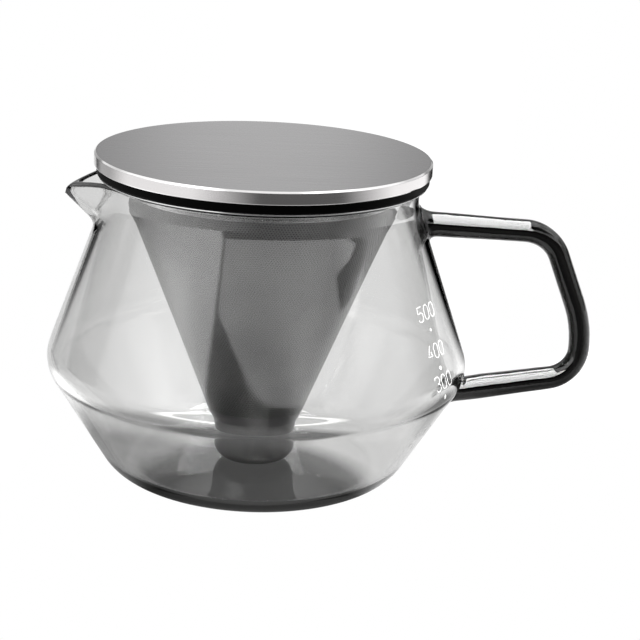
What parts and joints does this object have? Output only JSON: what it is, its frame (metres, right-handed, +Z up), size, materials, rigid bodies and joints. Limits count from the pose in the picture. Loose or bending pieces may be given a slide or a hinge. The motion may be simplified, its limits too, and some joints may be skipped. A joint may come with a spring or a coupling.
{
  "type": "teapot",
  "caption": "Smoked glass teapot with a flared belly, pulled spout and welded rod handle, a lift-out steel cone strainer and a flat brushed steel lid on a black seal ring",
  "frame": {"origin": "centre of the underside, on the jug's axis", "axes": "+X to the handle, -X to the spout, +Z up"},
  "size_m": [0.1621, 0.1244, 0.0964],
  "materials": {
    "smoked_glass": "clear smoked grey",
    "dark_glass": "dark smoked, fire polished",
    "filter_steel": "satin",
    "etched_mesh": "fine etched holes",
    "lid_steel": "brushed with a polished bevel",
    "black_silicone": "matt"
  },
  "bodies": {
    "pot": {"glass_jug": "smoked_glass", "handle": "dark_glass"},
    "filter": {"filter_rim": "filter_steel", "filter_mesh": "etched_mesh", "filter_cup": "filter_steel"},
    "lid": {"lid_cap": "lid_steel", "lid_base": "filter_steel", "lid_seal": "black_silicone"}
  },
  "joints": [
    {"name": "filter_lift", "type": "slide", "parent": "pot", "child": "filter", "axis": [0, 0, 1], "range_m": [0, 0.1]},
    {"name": "lid_lift", "type": "slide", "parent": "filter", "child": "lid", "axis": [0, 0, 1], "range_m": [0, 0.04]}
  ]
}
